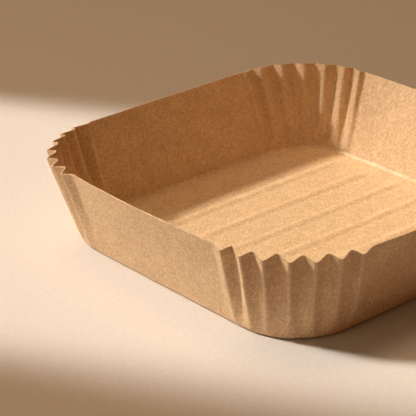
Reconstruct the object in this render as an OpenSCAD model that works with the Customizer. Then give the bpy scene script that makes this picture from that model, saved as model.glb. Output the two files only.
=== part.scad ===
// Square paper liner, pressed from one sheet of kraft paper.
// The origin is at the middle of the underside, +Z is up and the ribs run along X.

/* [Sheet] */
// Thickness of the paper
paper_t = 0.4; // [0.3:0.05:0.6]

/* [Base] */
// Width of the base, from fold line to opposite fold line
base_w = 172; // [150:1:200]
// Radius of the base's corners
base_r = 32.5; // [26:0.5:40]
// Radius of the fold between base and wall, at the middle of the sheet
fold_r = 2.5; // [1.5:0.25:4]

/* [Wall] */
// Height of the rim above the table
wall_h = 45; // [30:1:60]
// Width across the flat walls at the rim
rim_w = 197.5; // [190:0.5:206]
// Outward bow of the front and left walls, half way along the rim
front_bow = 2.3; // [0:0.1:3]
// Outward bow of the back and right walls, half way along the rim
back_bow = 0.4; // [0:0.1:3]

/* [Pleats] */
// Number of pleat ridges in each corner
pleat_count = 7; // [5:1:8]
// Distance between neighbouring ridges at the rim, along the line of the walls
rim_pitch = 10.6; // [9:0.1:12]
// Distance between neighbouring ridges at the fold line
foot_pitch = 9.6; // [8:0.1:11]
// Depth of a pleat at the rim, from the crease of its ridge to the crease of its groove
pleat_depth = 6.8; // [4:0.1:9]
// Share of a pleat's depth that stands outside the line of the walls
ridge_share = 0.35; // [0.1:0.05:0.6]
// Turn of the pleats from radial, at 0, to the corner's diagonal, at 1
pleat_turn = 0.7; // [0:0.05:0.9]
// Width of the flank that joins a flat wall to the first ridge, in pitches
end_flank = 0.6; // [0.5:0.05:0.9]
// Distance from a crease at which the paper starts to round into it
crease_round = 2.2; // [1:0.1:3]

/* [Ribs] */
// Number of ribs pressed up in the base
rib_count = 6; // [3:1:7]
// Distance between the middles of neighbouring ribs
rib_pitch = 21; // [12:0.5:22]
// Distance that the set of ribs lies off the middle of the base, towards the back
rib_shift = -2; // [-4:0.5:4]
// Width of a rib
rib_w = 8; // [3:0.25:10]
// Height of a rib
rib_h = 0.65; // [0.4:0.05:1.2]
// Distance from a rib's end to the fold line
rib_margin = 9; // [8:0.5:30]

/* [Hidden] */
kraft = [0.80, 0.62, 0.42];

// The section that the middle of the sheet follows.
// Radial distances are from a corner's centre, heights from the table.
corner_x = base_w / 2 - base_r;
mid_z = paper_t / 2;
wall_run = (rim_w - base_w) / 2;
wall_a = atan2(wall_h - mid_z, wall_run);
fold_cut = fold_r * tan(wall_a / 2);
wall_len = norm([wall_run, wall_h - mid_z]) - fold_cut;

// Mesh steps.
fold_steps = 4;
wall_steps = 5;
crease_steps = 3;
bow_steps = 4;
rib_end_steps = 6;
// Slant heights of the wall rings crowd towards the base, where the pleats open fastest.
wall_crowding = 1.7;
// Longest share of a flank that a crease may round.
crease_share = 0.4;
// Rib section: share of the half width, and share of the height there.
rib_section = [[1, 0], [0.65, 0.4], [0.3, 1]];

function turn(p, a) = [p.x * cos(a) - p.y * sin(a), p.x * sin(a) + p.y * cos(a)];
function polar(r, a) = [r * cos(a), r * sin(a)];
function unit(v) = v / norm(v);
function mix(a, b, share) = a + (b - a) * share;
function within(v, low, high) = min(max(v, low), high);

// Rings of the sheet as [radial distance, height, slant length up the wall].
section_rings = concat(
    [for (i = [0:fold_steps - 1])
        let (p = [base_r - fold_cut, mid_z + fold_r] + polar(fold_r, wall_a * i / fold_steps - 90))
        [p.x, p.y, 0]],
    [for (i = [0:wall_steps])
        let (s = wall_len * pow(i / wall_steps, wall_crowding), p = polar(fold_cut + s, wall_a))
        [base_r + p.x, mid_z + p.y, s]]
);

// The pleats take up the paper that a leaning corner has no room for. They deepen up the wall
// as a zigzag does that is as long as the arc of the flat sheet it was pressed from.
function pitch(s) = mix(foot_pitch, rim_pitch, s / wall_len);
function spare_paper(s) =
    let (room = base_r + s * cos(wall_a), sheet = base_r + s)
    pitch(s) * sqrt(pow(sheet / room, 2) - 1);
function depth_at(s) = pleat_depth * spare_paper(s) / spare_paper(wall_len);

// A point beside the line of the walls, and the direction square to that line.
// l is measured along the line from the middle of the corner, and runs on into the flat walls.
function facing(r, l) = 45 + within(l / r * 180 / PI, -45, 45);
function beside_wall(r, l, out) =
    let (a = facing(r, l), past = l - within(l, -r * PI / 4, r * PI / 4))
    polar(r + out, a) + polar(past, a + 90);

// A pleat is as long on the slant as the wall is. What leans further out ends lower,
// so the rim dips at a ridge and rises at a groove.
function leaning(p, out) = [p.x, p.y, -out / tan(wall_a)];

// Creases of one corner from its centre: end of one flat wall, ridges and grooves, next flat wall.
last_ridge = (pleat_count - 1) / 2;
function end_place(s) = (last_ridge + end_flank) * pitch(s);
function corner_creases(r, s) =
    let (depth = depth_at(s), reach = ridge_share * depth)
    concat(
        [leaning(beside_wall(r, -end_place(s), 0), 0)],
        [for (i = [0:2 * pleat_count - 2])
            let (
                l = (i / 2 - last_ridge) * pitch(s),
                ridge = beside_wall(r, l, reach),
                inward = mix(facing(r, l), 45, pleat_turn),
                groove_out = reach - depth * cos(inward - facing(r, l))
            )
            i % 2 == 0 ? leaning(ridge, reach) : leaning(ridge - polar(depth, inward), groove_out)],
        [leaning(beside_wall(r, end_place(s), 0), 0)]
    );

// A crease rounded as a short curve that is tangent to the flanks on each side of it.
function rounded(before, crease, after) =
    let (
        cut = min(crease_round, crease_share * min(norm(before - crease), norm(after - crease))),
        a = crease + cut * unit(before - crease),
        b = crease + cut * unit(after - crease)
    )
    [for (i = [0:crease_steps])
        let (u = i / crease_steps)
        pow(1 - u, 2) * a + 2 * u * (1 - u) * crease + pow(u, 2) * b];

// One corner and the flat wall after it, then the ring of four: back, left, front and right.
wall_bows = [back_bow, front_bow, front_bow, back_bow];
function quarter_ring(r, s, wall_bow) =
    let (
        creases = corner_creases(r, s),
        last = len(creases) - 1,
        flat_end = corner_x + creases[last].x,
        bow = wall_bow * s / wall_len
    )
    concat(
        [for (i = [0:last])
            let (
                before = i == 0 ? creases[0] - [0, corner_x, 0] : creases[i - 1],
                after = i == last ? creases[last] - [corner_x, 0, 0] : creases[i + 1]
            )
            for (p = rounded(before, creases[i], after)) p + [corner_x, corner_x, 0]],
        [for (i = [1:bow_steps - 1])
            let (u = 1 - 2 * i / bow_steps)
            [u * flat_end, corner_x + r + bow * (1 - u * u), 0]]
    );
function ring(level) =
    [for (q = [0:3]) for (p = quarter_ring(level[0], level[2], wall_bows[q]))
        let (v = turn(p, 90 * q)) [v.x, v.y, level[1] + p.z]];

// Grid of points at the middle of the sheet, one row for each ring.
sheet_grid = [for (level = section_rings) ring(level)];
rows = len(sheet_grid);
cols = len(sheet_grid[0]);
quarter_cols = cols / 4;

// Direction square to the sheet, towards the inside of the liner.
function inside_normal(k, i) =
    k == 0 ? [0, 0, 1] :
    let (
        along = sheet_grid[k][(i + 1) % cols] - sheet_grid[k][(i + cols - 1) % cols],
        up = sheet_grid[min(k + 1, rows - 1)][i] - sheet_grid[k - 1][i]
    )
    unit(cross(up, along));
function sheet_side(offset) =
    [for (k = [0:rows - 1]) for (i = [0:cols - 1]) sheet_grid[k][i] + offset * inside_normal(k, i)];

// Contour of a rib round its middle line, counter-clockwise from the lower right.
rib_half = base_w / 2 - rib_margin - rib_w / 2;
function rib_y(n) = rib_shift + (n - (rib_count - 1) / 2) * rib_pitch;
function rib_contour(n, share) =
    [for (end = [0, 1]) for (i = [0:rib_end_steps])
        let (a = 180 * end - 90 + 180 * i / rib_end_steps)
        [(1 - 2 * end) * rib_half, rib_y(n)] + polar(share * rib_w / 2, a)];
function rib_points(z) =
    [for (n = [0:rib_count - 1]) for (level = rib_section) for (p = rib_contour(n, level[0]))
        [p.x, p.y, z + rib_h * level[1]]];
under_points = concat(sheet_side(-paper_t / 2), rib_points(0));
rib_cols = 2 * rib_end_steps + 2;
rib_rows = len(rib_section);
right_tip = rib_end_steps / 2;
left_tip = right_tip + rib_end_steps + 1;

// Indices into one side of the sheet: the grid first, then the ribs.
grid_size = rows * cols;
side_size = grid_size + rib_count * rib_rows * rib_cols;
function at(k, i) = k * cols + i % cols;
function rib_at(n, level, i) = grid_size + (n * rib_rows + level) * rib_cols + i % rib_cols;

// Lines of points along the edge of the base flat and along the ribs' feet.
corner_start_right = 0;
corner_end_left = 2 * quarter_cols - bow_steps;
corner_start_left = 2 * quarter_cols;
corner_end_right = 4 * quarter_cols - bow_steps;
function edge(first, last) = [for (i = [first:last]) at(0, i)];
function foot(n, first, last) = [for (i = [first:last]) rib_at(n, 0, i)];

// Two lines of points joined by triangles, each edge to the point abreast of it.
// Places are measured along one direction, and both lines run that way.
function places(line, along) =
    [for (i = [0:len(line) - 2]) (under_points[line[i]] + under_points[line[i + 1]]) * along / 2];
function joined(outer, inner, along) =
    let (outer_places = places(outer, along), inner_places = places(inner, along))
    concat(
        [for (i = [0:len(outer) - 2])
            let (passed = [for (t = inner_places) if (t < outer_places[i]) t])
            [outer[i], outer[i + 1], inner[len(passed)]]],
        [for (i = [0:len(inner) - 2])
            let (passed = [for (t = outer_places) if (t <= inner_places[i]) t])
            [inner[i + 1], inner[i], outer[len(passed)]]]
    );
function between_ribs(n) =
    let (mirrored = 2 * right_tip + rib_cols)
    [for (i = [right_tip:left_tip - 1])
        let (abreast = mirrored - i)
        [rib_at(n, 0, i), rib_at(n + 1, 0, abreast), rib_at(n + 1, 0, abreast - 1), rib_at(n, 0, i + 1)]];

// Faces of one side, listed so that they point down and outwards.
wall_faces = [for (k = [0:rows - 2]) for (i = [0:cols - 1])
    each [[at(k, i), at(k + 1, i), at(k + 1, i + 1)], [at(k, i), at(k + 1, i + 1), at(k, i + 1)]]];
last_rib = rib_count - 1;
left_tips = [for (n = [last_rib:-1:0]) rib_at(n, 0, left_tip)];
right_tips = [for (n = [0:last_rib]) rib_at(n, 0, right_tip)];
flat_faces = concat(
    joined(edge(corner_start_right, corner_end_left), foot(last_rib, right_tip, left_tip), [-1, 0, 0]),
    joined(edge(corner_end_left, corner_start_left), left_tips, [0, -1, 0]),
    joined(edge(corner_start_left, corner_end_right), foot(0, left_tip, right_tip + rib_cols), [1, 0, 0]),
    joined(edge(corner_end_right, cols), right_tips, [0, 1, 0]),
    [for (n = [0:last_rib - 1]) each between_ribs(n)]
);
rib_faces = [for (n = [0:last_rib])
    each concat(
        [for (level = [0:rib_rows - 2]) for (i = [0:rib_cols - 1])
            [
                rib_at(n, level, i),
                rib_at(n, level, i + 1),
                rib_at(n, level + 1, i + 1),
                rib_at(n, level + 1, i)
            ]],
        [[for (i = [0:rib_cols - 1]) rib_at(n, rib_rows - 1, i)]]
    )];
under_faces = concat(wall_faces, flat_faces, rib_faces);
function reversed(face) = [for (i = [len(face) - 1:-1:0]) face[i] + side_size];
rim_faces = [for (i = [0:cols - 1])
    [at(rows - 1, i), at(rows - 1, i) + side_size, at(rows - 1, i + 1) + side_size, at(rows - 1, i + 1)]];

// The whole liner: base, ribs, walls and pleated corners in one sheet.
module paper_liner() {
    color(kraft)
        polyhedron(
            points = concat(under_points, sheet_side(paper_t / 2), rib_points(paper_t)),
            faces = concat(under_faces, [for (face = under_faces) reversed(face)], rim_faces),
            convexity = 10
        );
}

paper_liner();
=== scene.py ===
import math
import random

import bmesh
import bpy
from mathutils import Matrix, Vector, noise


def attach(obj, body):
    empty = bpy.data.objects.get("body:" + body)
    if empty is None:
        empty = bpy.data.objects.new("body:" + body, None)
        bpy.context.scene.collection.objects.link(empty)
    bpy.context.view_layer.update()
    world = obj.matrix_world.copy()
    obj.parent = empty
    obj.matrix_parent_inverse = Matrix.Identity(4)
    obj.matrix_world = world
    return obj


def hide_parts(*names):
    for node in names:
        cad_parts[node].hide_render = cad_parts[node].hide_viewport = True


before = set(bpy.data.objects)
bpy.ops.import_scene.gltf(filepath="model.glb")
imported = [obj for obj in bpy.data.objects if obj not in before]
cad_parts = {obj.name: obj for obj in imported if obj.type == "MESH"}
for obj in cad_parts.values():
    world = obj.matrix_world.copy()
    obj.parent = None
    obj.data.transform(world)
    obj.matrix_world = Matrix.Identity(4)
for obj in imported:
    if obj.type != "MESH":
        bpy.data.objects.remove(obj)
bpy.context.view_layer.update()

# Sizes in millimetres, as in the part's source.
MM = 0.001
PAPER_T = 0.4
BASE_W = 172.0
BASE_R = 32.5
FOLD_R = 2.5
WALL_H = 45.0
RIM_W = 197.5
# How far the flat walls bow out, half way along the rim.
FRONT_BOW = 2.0
BACK_BOW = 0.3
# Slack that hands leave in the paper, and the size of its waves.
SLACK = 0.5
SLACK_WAVE = 38.0
# Pleats: mean distance between ridges, turn towards the corner's diagonal, how much rounder
# a groove is than a ridge, and how far chance moves a ridge or deepens a groove.
RIM_PITCH = 10.6
FOOT_PITCH = 9.6
PLEAT_TURN = 0.7
GROOVE_ROUNDING = 0.8
RIDGE_CHANCE = 0.3
GROOVE_CHANCE = 0.4
# Longest share of a flank that a crease may round.
FLANK_SHARE = 0.47
# Slant length over which the painted highlight on a ridge comes in.
RIDGE_HIGHLIGHT_START = 12.0
RIBS = 6
RIB_PITCH = 21.0
RIB_SHIFT = -2.0
RIB_W = 8.0
RIB_H = 0.65
RIB_MARGIN = 9.0
# Flat paper round each rib in its patch of grid, at its ends and at its sides.
RIB_END_SPARE = 1.0
RIB_SIDE_SPARE = 0.6

# The section of the sheet, worked out from those sizes.
CORNER = BASE_W / 2 - BASE_R
MID_Z = PAPER_T / 2
WALL_RUN = (RIM_W - BASE_W) / 2
WALL_A = math.atan2(WALL_H - MID_Z, WALL_RUN)
FOLD_CUT = FOLD_R * math.tan(WALL_A / 2)
WALL_LEN = math.hypot(WALL_RUN, WALL_H - MID_Z) - FOLD_CUT

# Mesh steps. Rows crowd towards the base up the wall, and towards the ends along a rib.
CREASE_STEPS = 6
FLANK_STEPS = 3
FLAT_STEPS = 14
FOLD_STEPS = 7
WALL_STEPS = 24
WALL_CROWDING = 1.6
RIB_ROWS = 16
RIB_STEPS = 46
RIB_CROWDING = 1.9


def mix(a, b, share):
    return a + (b - a) * share


def polar(r, a):
    return Vector((r * math.cos(a), r * math.sin(a)))


def section():
    """Radial distance from a corner's centre, height and slant length up the wall, row by row."""
    rows = []
    for i in range(FOLD_STEPS):
        a = WALL_A * i / FOLD_STEPS
        rows.append((BASE_R - FOLD_CUT + FOLD_R * math.sin(a), MID_Z + FOLD_R * (1 - math.cos(a)), 0.0))
    for i in range(WALL_STEPS + 1):
        s = WALL_LEN * (i / WALL_STEPS) ** WALL_CROWDING
        p = Vector((BASE_R, MID_Z)) + polar(FOLD_CUT + s, WALL_A)
        rows.append((p.x, p.y, s))
    return rows


def pleat_growth(s):
    """Share of a pleat's full depth that it has reached at slant length s."""

    def taken_up(t):
        room = BASE_R + t * math.cos(WALL_A)
        return mix(FOOT_PITCH, RIM_PITCH, t / WALL_LEN) * math.sqrt(max(0.0, ((BASE_R + t) / room) ** 2 - 1))

    return taken_up(s) / taken_up(WALL_LEN)


def facing(r, along):
    return math.radians(45) + max(-math.radians(45), min(math.radians(45), along / r))


def beside_wall(r, along, out):
    """Point at a distance along the line of the walls from a corner's middle, and out from that line."""
    a = facing(r, along)
    reach = r * math.radians(45)
    past = along - max(-reach, min(reach, along))
    return polar(r + out, a) + polar(past, a + math.radians(90))


class Corner:
    """The pleats of one corner as hands have left them.

    foot and rim are the places of the ridges along the wall, the flat walls' ends first and
    last. Ridges stand reach outside the line of the walls and grooves depth inside them.
    rounding is the distance from a ridge at which the paper starts to round into it. All
    three are given at both ends of the corner. There may be a groove beside a flat wall too.
    """

    def __init__(self, seed, foot, rim, reach, depth, rounding, end_grooves=(False, False)):
        dice = random.Random(seed)
        last = len(rim) - 1
        self.stops = []
        for i in range(last + 1):
            kind = 0 if i in (0, last) else 1
            chance = dice.uniform(-RIDGE_CHANCE, RIDGE_CHANCE)
            out = kind * (mix(reach[0], reach[1], (i - 1) / (last - 2)) + chance)
            self.stops.append((foot[i], rim[i], kind, out, 0.0))
            side = end_grooves[0 if i == 0 else 1]
            if i < last and (0 < i < last - 1 or side):
                middle = [(foot[i] + foot[i + 1]) / 2, (rim[i] + rim[i + 1]) / 2]
                chance = dice.uniform(-GROOVE_CHANCE, GROOVE_CHANCE)
                inward = mix(depth[0], depth[1], i / (last - 1)) + chance
                self.stops.append((*middle, -1, mix(reach[0], reach[1], i / last), inward))
        self.rounding = rounding

    def creases(self, r, s):
        """Creases as (point, kind, rounding). kind is 1 on a ridge, -1 in a groove and 0 at a flat wall.

        A pleat is as long on the slant as the walls are. A ridge leans out, so it ends lower,
        and a groove ends higher. The point's third value is that lift.
        """
        growth = pleat_growth(s)
        out = []
        for i, (foot, rim, kind, reach, depth) in enumerate(self.stops):
            place = mix(foot, rim, s / WALL_LEN)
            inward = mix(facing(r, place), math.radians(45), PLEAT_TURN)
            point = beside_wall(r, place, reach * growth) - polar(depth * growth, inward)
            lean = growth * (reach - depth * math.cos(inward - facing(r, place)))
            rounding = mix(self.rounding[0], self.rounding[1], i / (len(self.stops) - 1))
            rounding += GROOVE_ROUNDING * (kind < 0)
            out.append((Vector((*point, -lean / math.tan(WALL_A))), kind, rounding))
        return out


FAR_CORNER = Corner(
    3,
    [-28.0, -20.5, -12.0, -4.4, 3.2, 11.0, 18.0, 25.0],
    [-35.4, -26.3, -16.4, -4.9, 6.5, 18.0, 29.8, 38.8],
    (2.3, 2.3), (6.0, 6.2), (1.8, 1.8), (True, True),
)
LEFT_CORNER = Corner(
    5,
    [-28.5, -22.5, -15.2, -7.6, 0.0, 7.8, 15.8, 24.5, 31.0],
    [-36.0, -26.0, -17.1, -7.9, 2.8, 12.1, 22.1, 31.8, 37.5],
    (2.2, 2.8), (5.6, 5.6), (1.4, 1.4), (True, False),
)
NEAR_CORNER = Corner(
    8,
    [-35.2, -29.4, -20.0, -11.7, -2.7, 7.4, 17.9, 28.1, 34.0],
    [-39.3, -33.1, -23.1, -12.6, -1.3, 9.4, 20.3, 30.5, 36.8],
    (1.8, 2.6), (6.0, 6.2), (1.0, 2.4),
)
RIGHT_CORNER = Corner(
    13,
    [-34.6, -28.8, -19.2, -9.6, 0.0, 9.6, 19.2, 28.8, 34.6],
    [-38.2, -31.8, -21.2, -10.6, 0.0, 10.6, 21.2, 31.8, 38.2],
    (2.2, 2.2), (6.0, 6.0), (1.8, 1.8),
)
# Corners counter-clockwise from the back right, and the bow of the wall after each.
CORNERS = [
    (FAR_CORNER, BACK_BOW),
    (LEFT_CORNER, FRONT_BOW),
    (NEAR_CORNER, FRONT_BOW),
    (RIGHT_CORNER, BACK_BOW),
]


def corner_line(corner, r, s):
    """Points (x, y, lift, ridge) round one corner. ridge is 1 on a ridge and -1 in a groove."""
    creases = corner.creases(r, s)
    first, last = creases[0][0], creases[-1][0]
    points = [first - Vector((0, CORNER, 0))] + [c[0] for c in creases] + [last - Vector((CORNER, 0, 0))]
    line = []
    for i, (crease, kind, rounding) in enumerate(creases):
        before, after = points[i] - crease, points[i + 2] - crease
        cut = min(rounding, FLANK_SHARE * min(before.length, after.length))
        a, b = crease + cut * before.normalized(), crease + cut * after.normalized()
        if line:
            flank = Vector(line[-1][:3])
            line += [(*flank.lerp(a, step / FLANK_STEPS), 0.0) for step in range(1, FLANK_STEPS)]
        for step in range(CREASE_STEPS + 1):
            u = step / CREASE_STEPS
            p = (1 - u) ** 2 * a + 2 * u * (1 - u) * crease + u * u * b
            line.append((p.x, p.y, p.z, kind * math.sin(math.pi * u)))
    return [(x + CORNER, y + CORNER, lift, kind) for x, y, lift, kind in line]


def ring(r, z, s):
    """One ring of the sheet as (point in metres, ridge): each corner and the flat wall after it."""
    lines = [corner_line(corner, r, s) for corner, _ in CORNERS]
    out = []
    for q, (_, bow) in enumerate(CORNERS):
        line = list(lines[q])
        flat_start, flat_end = line[-1][0], -lines[(q + 1) % 4][0][1]
        for step in range(1, FLAT_STEPS):
            u = step / FLAT_STEPS
            swell = bow * s / WALL_LEN * (1 - (2 * u - 1) ** 2)
            line.append((mix(flat_start, flat_end, u), CORNER + r + swell, 0.0, 0.0))
        turn = Matrix.Rotation(math.radians(90 * q), 2)
        for x, y, lift, kind in line:
            p = turn @ Vector((x, y))
            wave = noise.noise(Vector((p.x, p.y, 1.6 * z)) / SLACK_WAVE)
            slack = SLACK * (wave - 0.5) * s / WALL_LEN
            p += p.normalized() * slack
            out.append((Vector((p.x, p.y, z + lift)) * MM, kind))
    return out


def rib_height(x, y, rib_y):
    """Height of a rib above the flat of the base."""
    half = BASE_W / 2 - RIB_MARGIN - RIB_W / 2
    away = math.hypot(max(0.0, abs(x) - half), y - rib_y) / (RIB_W / 2)
    return RIB_H * 0.5 * (1 + math.cos(math.pi * min(1.0, away)))


def make_liner():
    rows = section()
    rings = [ring(*row) for row in rows]
    cols = len(rings[0])
    bm = bmesh.new()
    column = bm.verts.layers.int.new("column")
    ridge = bm.verts.layers.float.new("ridge")

    circle = bmesh.ops.create_circle(bm, segments=cols, radius=1.0)["verts"]
    for i, v in enumerate(circle):
        v[column] = i
        v.co = rings[0][i][0]
    edge = list({e for v in circle for e in v.link_edges})

    # The ribs share one patch of fine grid, with one wide row between neighbours.
    reach_x = BASE_W / 2 - RIB_MARGIN + RIB_END_SPARE
    reach_y = RIB_W / 2 + RIB_SIDE_SPARE
    count = RIBS * (RIB_ROWS + 1) - 1
    patch = bmesh.ops.create_grid(bm, x_segments=RIB_STEPS, y_segments=count, size=1.0)["verts"]
    for v in patch:
        n, row = divmod(round((v.co.y + 1) / 2 * count), RIB_ROWS + 1)
        rib_y = RIB_SHIFT + (n - (RIBS - 1) / 2) * RIB_PITCH
        x = math.copysign(reach_x * (1 - (1 - abs(v.co.x)) ** RIB_CROWDING), v.co.x)
        y = rib_y + reach_y * (2 * row / RIB_ROWS - 1)
        v.co = Vector((x, y, MID_Z + rib_height(x, y, rib_y))) * MM
    border = [e for e in {e for v in patch for e in v.link_edges} if e.is_boundary]
    bmesh.ops.triangle_fill(bm, use_beauty=True, use_dissolve=False, edges=edge + border, normal=(0, 0, 1))

    for row, points in zip(rows[1:], rings[1:]):
        grown = bmesh.ops.extrude_edge_only(bm, edges=edge)["geom"]
        edge = [e for e in grown if isinstance(e, bmesh.types.BMEdge)]
        for v in (g for g in grown if isinstance(g, bmesh.types.BMVert)):
            place, kind = points[v[column]]
            v.co = place
            # The ridge value fades in above the base and drives the painted highlight on ridges.
            v[ridge] = kind * min(1.0, row[2] / RIDGE_HIGHLIGHT_START)
    bmesh.ops.recalc_face_normals(bm, faces=bm.faces)

    mesh = bpy.data.meshes.new("paper_sheet")
    bm.to_mesh(mesh)
    bm.free()
    sheet = bpy.data.objects.new("paper_sheet", mesh)
    bpy.context.scene.collection.objects.link(sheet)
    wall = sheet.modifiers.new("thickness", "SOLIDIFY")
    wall.thickness = PAPER_T * MM
    wall.offset = 0.0
    bpy.context.view_layer.update()
    solid = bpy.data.meshes.new_from_object(sheet.evaluated_get(bpy.context.evaluated_depsgraph_get()))
    sheet.modifiers.clear()
    sheet.data = solid
    solid.shade_smooth()
    solid.set_sharp_from_angle(angle=math.radians(50))
    return sheet


class Value:
    """A socket in a material, whose sums are written as Python expressions."""

    def __init__(self, finish, socket):
        self.finish, self.socket = finish, socket

    def maths(self, operation, first, second):
        return self.finish.node("ShaderNodeMath", {"operation": operation}, {0: first, 1: second})

    def __add__(self, other):
        return self.maths("ADD", self, other)

    def __radd__(self, other):
        return self.maths("ADD", other, self)

    def __mul__(self, other):
        return self.maths("MULTIPLY", self, other)

    def __rmul__(self, other):
        return self.maths("MULTIPLY", other, self)


class Finish:
    """A material being made. node() adds any node and gives back one of its outputs."""

    def __init__(self, name):
        self.material = bpy.data.materials.new(name)
        self.material.use_nodes = True
        self.tree = self.material.node_tree
        self.tree.nodes.clear()

    def node(self, kind, settings=None, inputs=None, output=0):
        node = self.tree.nodes.new(kind)
        for key, value in (settings or {}).items():
            setattr(node, key, value)
        for key, value in (inputs or {}).items():
            if isinstance(value, Value):
                self.tree.links.new(value.socket, node.inputs[key])
            else:
                node.inputs[key].default_value = value
        return Value(self, node.outputs[output]) if node.outputs else None

    def blend(self, mask, first, second):
        """Colour first where mask is 0 and second where it is 1."""
        return self.node("ShaderNodeMix", {"data_type": "RGBA"}, {0: mask, 6: first, 7: second}, 2)

    def fade(self, value, low, high, to_low=0.0, to_high=1.0):
        """value from low to high, eased, as to_low to to_high."""
        return self.node(
            "ShaderNodeMapRange",
            {"interpolation_type": "SMOOTHSTEP"},
            {"Value": value, "From Min": low, "From Max": high, "To Min": to_low, "To Max": to_high},
        )

    def grain(self, place, size_mm, detail=2.0, roughness=0.5):
        """Noise whose cells are size_mm across."""
        inputs = {"Vector": place, "Scale": 1000 / size_mm, "Detail": detail, "Roughness": roughness}
        return self.node("ShaderNodeTexNoise", None, inputs)

    def fibres(self, place, size_mm, length, turn):
        """Noise stretched to length times its width along a turned axis."""
        inputs = {"Vector": place, "Rotation": turn, "Scale": (length, 1.0, 1.0)}
        return self.grain(self.node("ShaderNodeMapping", {"vector_type": "TEXTURE"}, inputs), size_mm, 1.0)

    def surface(self, inputs):
        shader = self.node("ShaderNodeBsdfPrincipled", None, inputs)
        self.node("ShaderNodeOutputMaterial", None, {"Surface": shader})
        return self.material


PAPER_DARK = (0.55, 0.345, 0.175, 1)
PAPER_LIGHT = (0.81, 0.57, 0.32, 1)
PAPER_SPECK = (0.36, 0.22, 0.11, 1)
# Pale colour of the painted highlight along the ridge crests.
PAPER_RIDGE_HIGHLIGHT = (0.86, 0.70, 0.48, 1)
TABLE_DARK = (0.67, 0.60, 0.53, 1)
TABLE_LIGHT = (0.70, 0.63, 0.56, 1)


def kraft_paper():
    """Unbleached paper: clouds and mottle of pulp, crossing fibres, dark specks, and ridges lightened by a
    painted highlight.
    """
    f = Finish("kraft_paper")
    place = f.node("ShaderNodeTexCoord", output="Object")
    cloud = f.grain(place, 9.0, 3.0, 0.55)
    mottle = f.grain(place, 1.4, 3.0, 0.7)
    strands = f.fade(f.fibres(place, 0.45, 7.0, (0.3, 0.2, 0.5)), 0.56, 0.72)
    strands = strands + f.fade(f.fibres(place, 0.45, 7.0, (-0.4, 0.9, 1.9)), 0.56, 0.72)
    pulp = 0.6 * mottle + 0.2 * cloud + 0.2 * strands
    colour = f.blend(f.fade(pulp, 0.3, 0.6), PAPER_DARK, PAPER_LIGHT)
    specks = {"Vector": place, "Scale": 1000 / 6.0}
    cells = f.node("ShaderNodeTexVoronoi", {"feature": "F1"}, specks, "Distance")
    speck = f.fade(cells + 0.12 * mottle, 0.10, 0.14, 1.0, 0.0)
    colour = f.blend(speck * 0.35, colour, PAPER_SPECK)
    # Painted highlight: ridge crests are blended towards a pale colour, as if light caught the folds.
    ridge = f.node("ShaderNodeAttribute", {"attribute_name": "ridge"}, None, "Fac")
    ridge_highlight = f.fade(ridge, 0.55, 1.0)
    colour = f.blend(ridge_highlight * 0.25, colour, PAPER_RIDGE_HIGHLIGHT)
    relief = 0.5 * mottle + 0.35 * strands + 0.5 * f.grain(place, 0.35, 1.0)
    normal = f.node("ShaderNodeBump", None, {"Strength": 0.5, "Distance": 0.00012, "Height": relief})
    return f.surface({
        "Base Color": colour,
        "Roughness": f.fade(pulp, 0.3, 0.62, 0.62, 0.52),
        "Normal": normal,
        "Specular IOR Level": 0.75,
        "Subsurface Weight": 0.2,
        "Subsurface Radius": (1.0, 0.8, 0.55),
        "Subsurface Scale": 0.0006,
    })


def pale_table():
    f = Finish("pale_table")
    place = f.node("ShaderNodeTexCoord", output="Object")
    plaster = f.grain(place, 2.2, 3.0, 0.6)
    return f.surface({
        "Base Color": f.blend(f.fade(plaster, 0.35, 0.65), TABLE_DARK, TABLE_LIGHT),
        "Roughness": 0.7,
        "Normal": f.node("ShaderNodeBump", None, {"Strength": 0.3, "Distance": 0.0003, "Height": plaster}),
        "Specular IOR Level": 0.25,
    })


def make_table():
    bm = bmesh.new()
    bmesh.ops.create_grid(bm, x_segments=2, y_segments=2, size=3.0)
    mesh = bpy.data.meshes.new("table")
    bm.to_mesh(mesh)
    bm.free()
    table = bpy.data.objects.new("table", mesh)
    bpy.context.scene.collection.objects.link(table)
    table.data.materials.append(pale_table())


# Light, in metres and watts. The softbox is gridded, so it lights a band of the table.
TO_SOFTBOX = Vector((-0.73, 0.93, 1.0)).normalized()
SOFTBOX_AWAY = 0.48
SOFTBOX_SHIFT = 0.015
LIT_BAND = Vector((0.5, -0.87, 0))
CEILING = Vector((0.0, 0.4, 1.4))
WINDOW = Vector((-1.5, 0.2, 0.7))
ROOM_COLOUR = (0.11, 0.063, 0.029, 1)


def soft_lamp(name, shape, size, energy, colour):
    light = bpy.data.lights.new(name, "AREA")
    light.shape = shape
    light.size = size
    light.energy = energy
    light.color = colour
    lamp = bpy.data.objects.new(name, light)
    bpy.context.scene.collection.objects.link(lamp)
    return lamp


def face_liner(lamp, place):
    lamp.location = place
    lamp.rotation_euler = place.to_track_quat("Z", "Y").to_euler()


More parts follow.
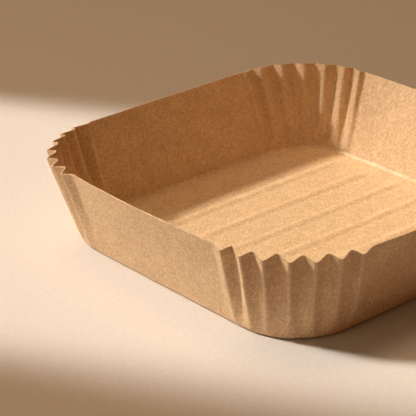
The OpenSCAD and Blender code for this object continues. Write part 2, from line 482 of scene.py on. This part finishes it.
def light_scene():
    """One gridded softbox from the back left, a ceiling, a window at the left and a dim warm room."""
    scene = bpy.context.scene
    scene.view_settings.view_transform = "Standard"
    softbox = soft_lamp("softbox", "RECTANGLE", 0.27, 0.78, (1.0, 0.98, 0.94))
    softbox.data.size_y = 0.70
    softbox.data.spread = math.radians(9)
    across = TO_SOFTBOX.cross(LIT_BAND).normalized()
    axes = Matrix((across, TO_SOFTBOX.cross(across), TO_SOFTBOX)).transposed()
    softbox.matrix_world = axes.to_4x4()
    softbox.location = TO_SOFTBOX * SOFTBOX_AWAY - SOFTBOX_SHIFT * across
    face_liner(soft_lamp("ceiling", "DISK", 0.8, 7.5, (1.0, 0.70, 0.44)), CEILING)
    window = soft_lamp("window", "RECTANGLE", 1.2, 2.5, (1.0, 0.85, 0.65))
    window.data.size_y = 0.6
    face_liner(window, WINDOW)
    world = bpy.data.worlds.new("room")
    world.use_nodes = True
    background = world.node_tree.nodes["Background"]
    background.inputs["Color"].default_value = ROOM_COLOUR
    background.inputs["Strength"].default_value = 1.0
    scene.world = world


# Camera, from a fit to the photograph: angles in degrees, distances in millimetres.
CAMERA_AZIMUTH = -40.35
CAMERA_HEIGHT = 24.65
CAMERA_ROLL = -1.25
CAMERA_BACK = 869.6
CAMERA_ASIDE = -45.4
CAMERA_UP = 12.5
CAMERA_LENS = 152.93


def place_camera():
    az, el, roll = (math.radians(a) for a in (CAMERA_AZIMUTH, CAMERA_HEIGHT, CAMERA_ROLL))
    back = Vector((math.sin(az) * math.cos(el), -math.cos(az) * math.cos(el), math.sin(el)))
    right = Vector((math.cos(az), math.sin(az), 0))
    up = back.cross(right)
    right, up = math.cos(roll) * right + math.sin(roll) * up, math.cos(roll) * up - math.sin(roll) * right
    camera = bpy.data.objects.new("camera", bpy.data.cameras.new("camera"))
    camera.data.lens = CAMERA_LENS
    camera.data.sensor_width = 36
    camera.data.clip_end = 20
    camera.matrix_world = Matrix((right, up, back)).transposed().to_4x4()
    camera.location = (CAMERA_BACK * back + CAMERA_ASIDE * right + CAMERA_UP * up) * MM
    bpy.context.scene.collection.objects.link(camera)
    bpy.context.scene.camera = camera


place_camera()
light_scene()
make_table()

liner = make_liner()
liner.data.materials.append(kraft_paper())
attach(liner, "root")
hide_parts("paper_liner")
